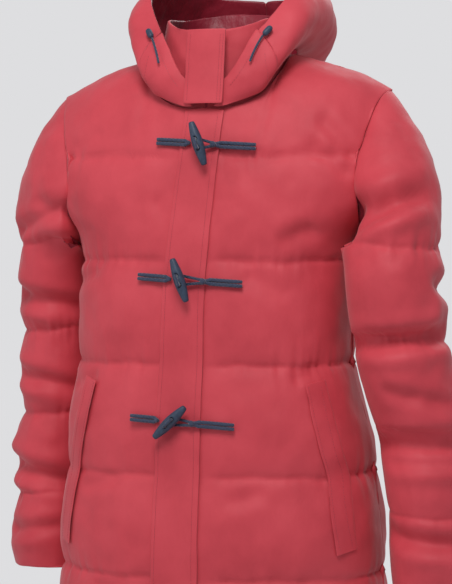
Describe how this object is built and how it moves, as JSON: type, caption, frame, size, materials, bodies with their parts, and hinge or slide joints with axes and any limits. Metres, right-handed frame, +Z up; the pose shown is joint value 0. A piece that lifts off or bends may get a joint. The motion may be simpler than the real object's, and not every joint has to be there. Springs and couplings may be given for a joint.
{
  "type": "padded hooded raincoat",
  "caption": "Horizontally quilted hooded coat, worn closed and hollow with its hood down, fastened with tapered toggles and cord loops over a placket",
  "frame": {"origin": "between the shoulders at the height of the neck, where the wearer's shoulders carry the coat", "axes": "+Z up along the body, the fronts face -Y, +X is the wearer's left"},
  "size_m": [0.7028, 0.3865, 0.9349],
  "materials": {
    "shell": "closely woven satin-matte brick red, quilted across",
    "cord": "braided navy cord",
    "toggle": "matte slate navy"
  },
  "bodies": {
    "root": {"front_left": "shell", "front_right": "shell", "back": "shell", "sleeve_left": "shell", "sleeve_right": "shell", "placket": "shell", "placket_collar": "shell", "pocket_welt_left": "shell", "pocket_welt_right": "shell", "collar": "shell", "hood_band_left": "shell", "hood_side_left": "shell", "hood_band_right": "shell", "hood_side_right": "shell", "toggle_1": "toggle", "toggle_cord_1": "cord", "loop_1": "cord", "toggle_2": "toggle", "toggle_cord_2": "cord", "loop_2": "cord", "toggle_3": "toggle", "toggle_cord_3": "cord", "loop_3": "cord", "stopper_left": "toggle", "drawcord_left": "cord", "stopper_right": "toggle", "drawcord_right": "cord"}
  },
  "joints": []
}
